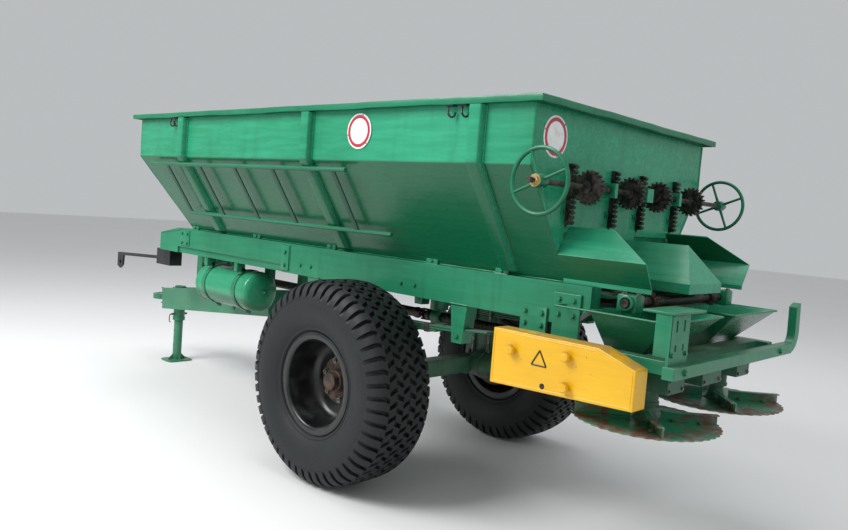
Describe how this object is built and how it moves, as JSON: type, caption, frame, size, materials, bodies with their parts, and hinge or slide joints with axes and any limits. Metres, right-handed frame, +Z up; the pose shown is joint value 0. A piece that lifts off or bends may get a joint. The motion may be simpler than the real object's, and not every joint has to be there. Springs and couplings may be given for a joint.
{
  "type": "towed twin-disc manure and lime spreader",
  "caption": "Towed single-axle manure and lime spreader with sloped hopper, gated rear outlet, chain floor, twin spinning discs and a drop jack.",
  "frame": {"origin": "on the ground under the middle of the machine's bounding box", "axes": "+Z up, -Y towards the drawbar and the tractor, +Y towards the spreading discs, +X the machine's left"},
  "size_m": [1.9, 5.19, 1.952],
  "materials": {
    "green_paint": "glossy machine enamel, brush marks and dust",
    "shaded_green_paint": "dull enamel under oil and dust",
    "yellow_paint": "satin enamel",
    "black_paint": "satin enamel",
    "tyre_rubber": "matt tread rubber",
    "bare_steel": "worn bare steel",
    "oiled_chain": "oiled, slightly rusty",
    "sign_white": "reflective sheet, blank"
  },
  "bodies": {
    "chassis": {"air_tank": "green_paint", "axle": "shaded_green_paint", "chain_guard": "yellow_paint", "conveyor_shaft": "shaded_green_paint", "cross_member_drawbar": "green_paint", "cross_member_front": "green_paint", "cross_member_middle": "green_paint", "cross_member_rear": "green_paint", "disc_drive": "green_paint", "drawbar_beam_left": "green_paint", "drawbar_beam_right": "green_paint", "drawbar_head": "green_paint", "drive_shaft": "shaded_green_paint", "floor_conveyor": "oiled_chain", "flow_divider": "green_paint", "frame_beam_left": "green_paint", "frame_beam_right": "green_paint", "front_support_arm": "black_paint", "funnel_left": "green_paint", "funnel_right": "green_paint", "hopper_front": "green_paint", "hopper_rear": "green_paint", "hopper_rim": "green_paint", "hopper_side_left": "green_paint", "hopper_side_right": "green_paint", "jack_tube": "green_paint", "leaf_spring_left": "shaded_green_paint", "leaf_spring_right": "shaded_green_paint", "rear_bumper": "green_paint", "rear_post_left": "green_paint", "side_chute_left": "green_paint", "side_chute_right": "green_paint", "slat_rack_left": "green_paint", "slat_rack_right": "green_paint", "spreader_arm_left": "green_paint", "spreader_arm_right": "green_paint"},
    "wheel_left": {"tyre_left": "tyre_rubber", "rim_left": "black_paint"},
    "wheel_right": {"tyre_right": "tyre_rubber", "rim_right": "black_paint"},
    "jack": {"jack_leg": "green_paint"},
    "gate_left": {"gate_left": "shaded_green_paint"},
    "gate_right": {"gate_right": "shaded_green_paint"},
    "handwheel_left": {"handwheel_left": "green_paint"},
    "handwheel_right": {"handwheel_right": "green_paint"},
    "disc_left": {"disc_left": "green_paint"},
    "disc_right": {"disc_right": "green_paint"}
  },
  "joints": [
    {"name": "wheel_left_spin", "type": "hinge", "parent": "chassis", "child": "wheel_left", "pos_m": [0.75, 0.755, 0.53], "axis": [1, 0, 0], "continuous": true},
    {"name": "wheel_right_spin", "type": "hinge", "parent": "chassis", "child": "wheel_right", "pos_m": [-0.75, 0.755, 0.53], "axis": [1, 0, 0], "continuous": true},
    {"name": "disc_left_spin", "type": "hinge", "parent": "chassis", "child": "disc_left", "pos_m": [0.36, 2.285, 0.64], "axis": [0, 0, 1], "continuous": true},
    {"name": "disc_right_spin", "type": "hinge", "parent": "chassis", "child": "disc_right", "pos_m": [-0.36, 2.285, 0.64], "axis": [0, 0, 1], "continuous": true},
    {"name": "jack_slide", "type": "slide", "parent": "chassis", "child": "jack", "axis": [0, 0, 1], "range_m": [0, 0.25]},
    {"name": "handwheel_left_turn", "type": "hinge", "parent": "chassis", "child": "handwheel_left", "pos_m": [0, 1.995, 1.6], "axis": [-1, 0, 0], "range_deg": [0, 160]},
    {"name": "handwheel_right_turn", "type": "hinge", "parent": "chassis", "child": "handwheel_right", "pos_m": [0, 1.995, 1.6], "axis": [-1, 0, 0], "range_deg": [0, 160]},
    {"name": "gate_left_slide", "type": "slide", "parent": "chassis", "child": "gate_left", "axis": [0, 0, 1], "range_m": [0, 0.2]},
    {"name": "gate_right_slide", "type": "slide", "parent": "chassis", "child": "gate_right", "axis": [0, 0, 1], "range_m": [0, 0.2]}
  ],
  "couplings": [
    {"joint": "gate_left_slide", "follows": "handwheel_left_turn", "m_per_rad": 0.07},
    {"joint": "gate_right_slide", "follows": "handwheel_right_turn", "m_per_rad": 0.07}
  ]
}
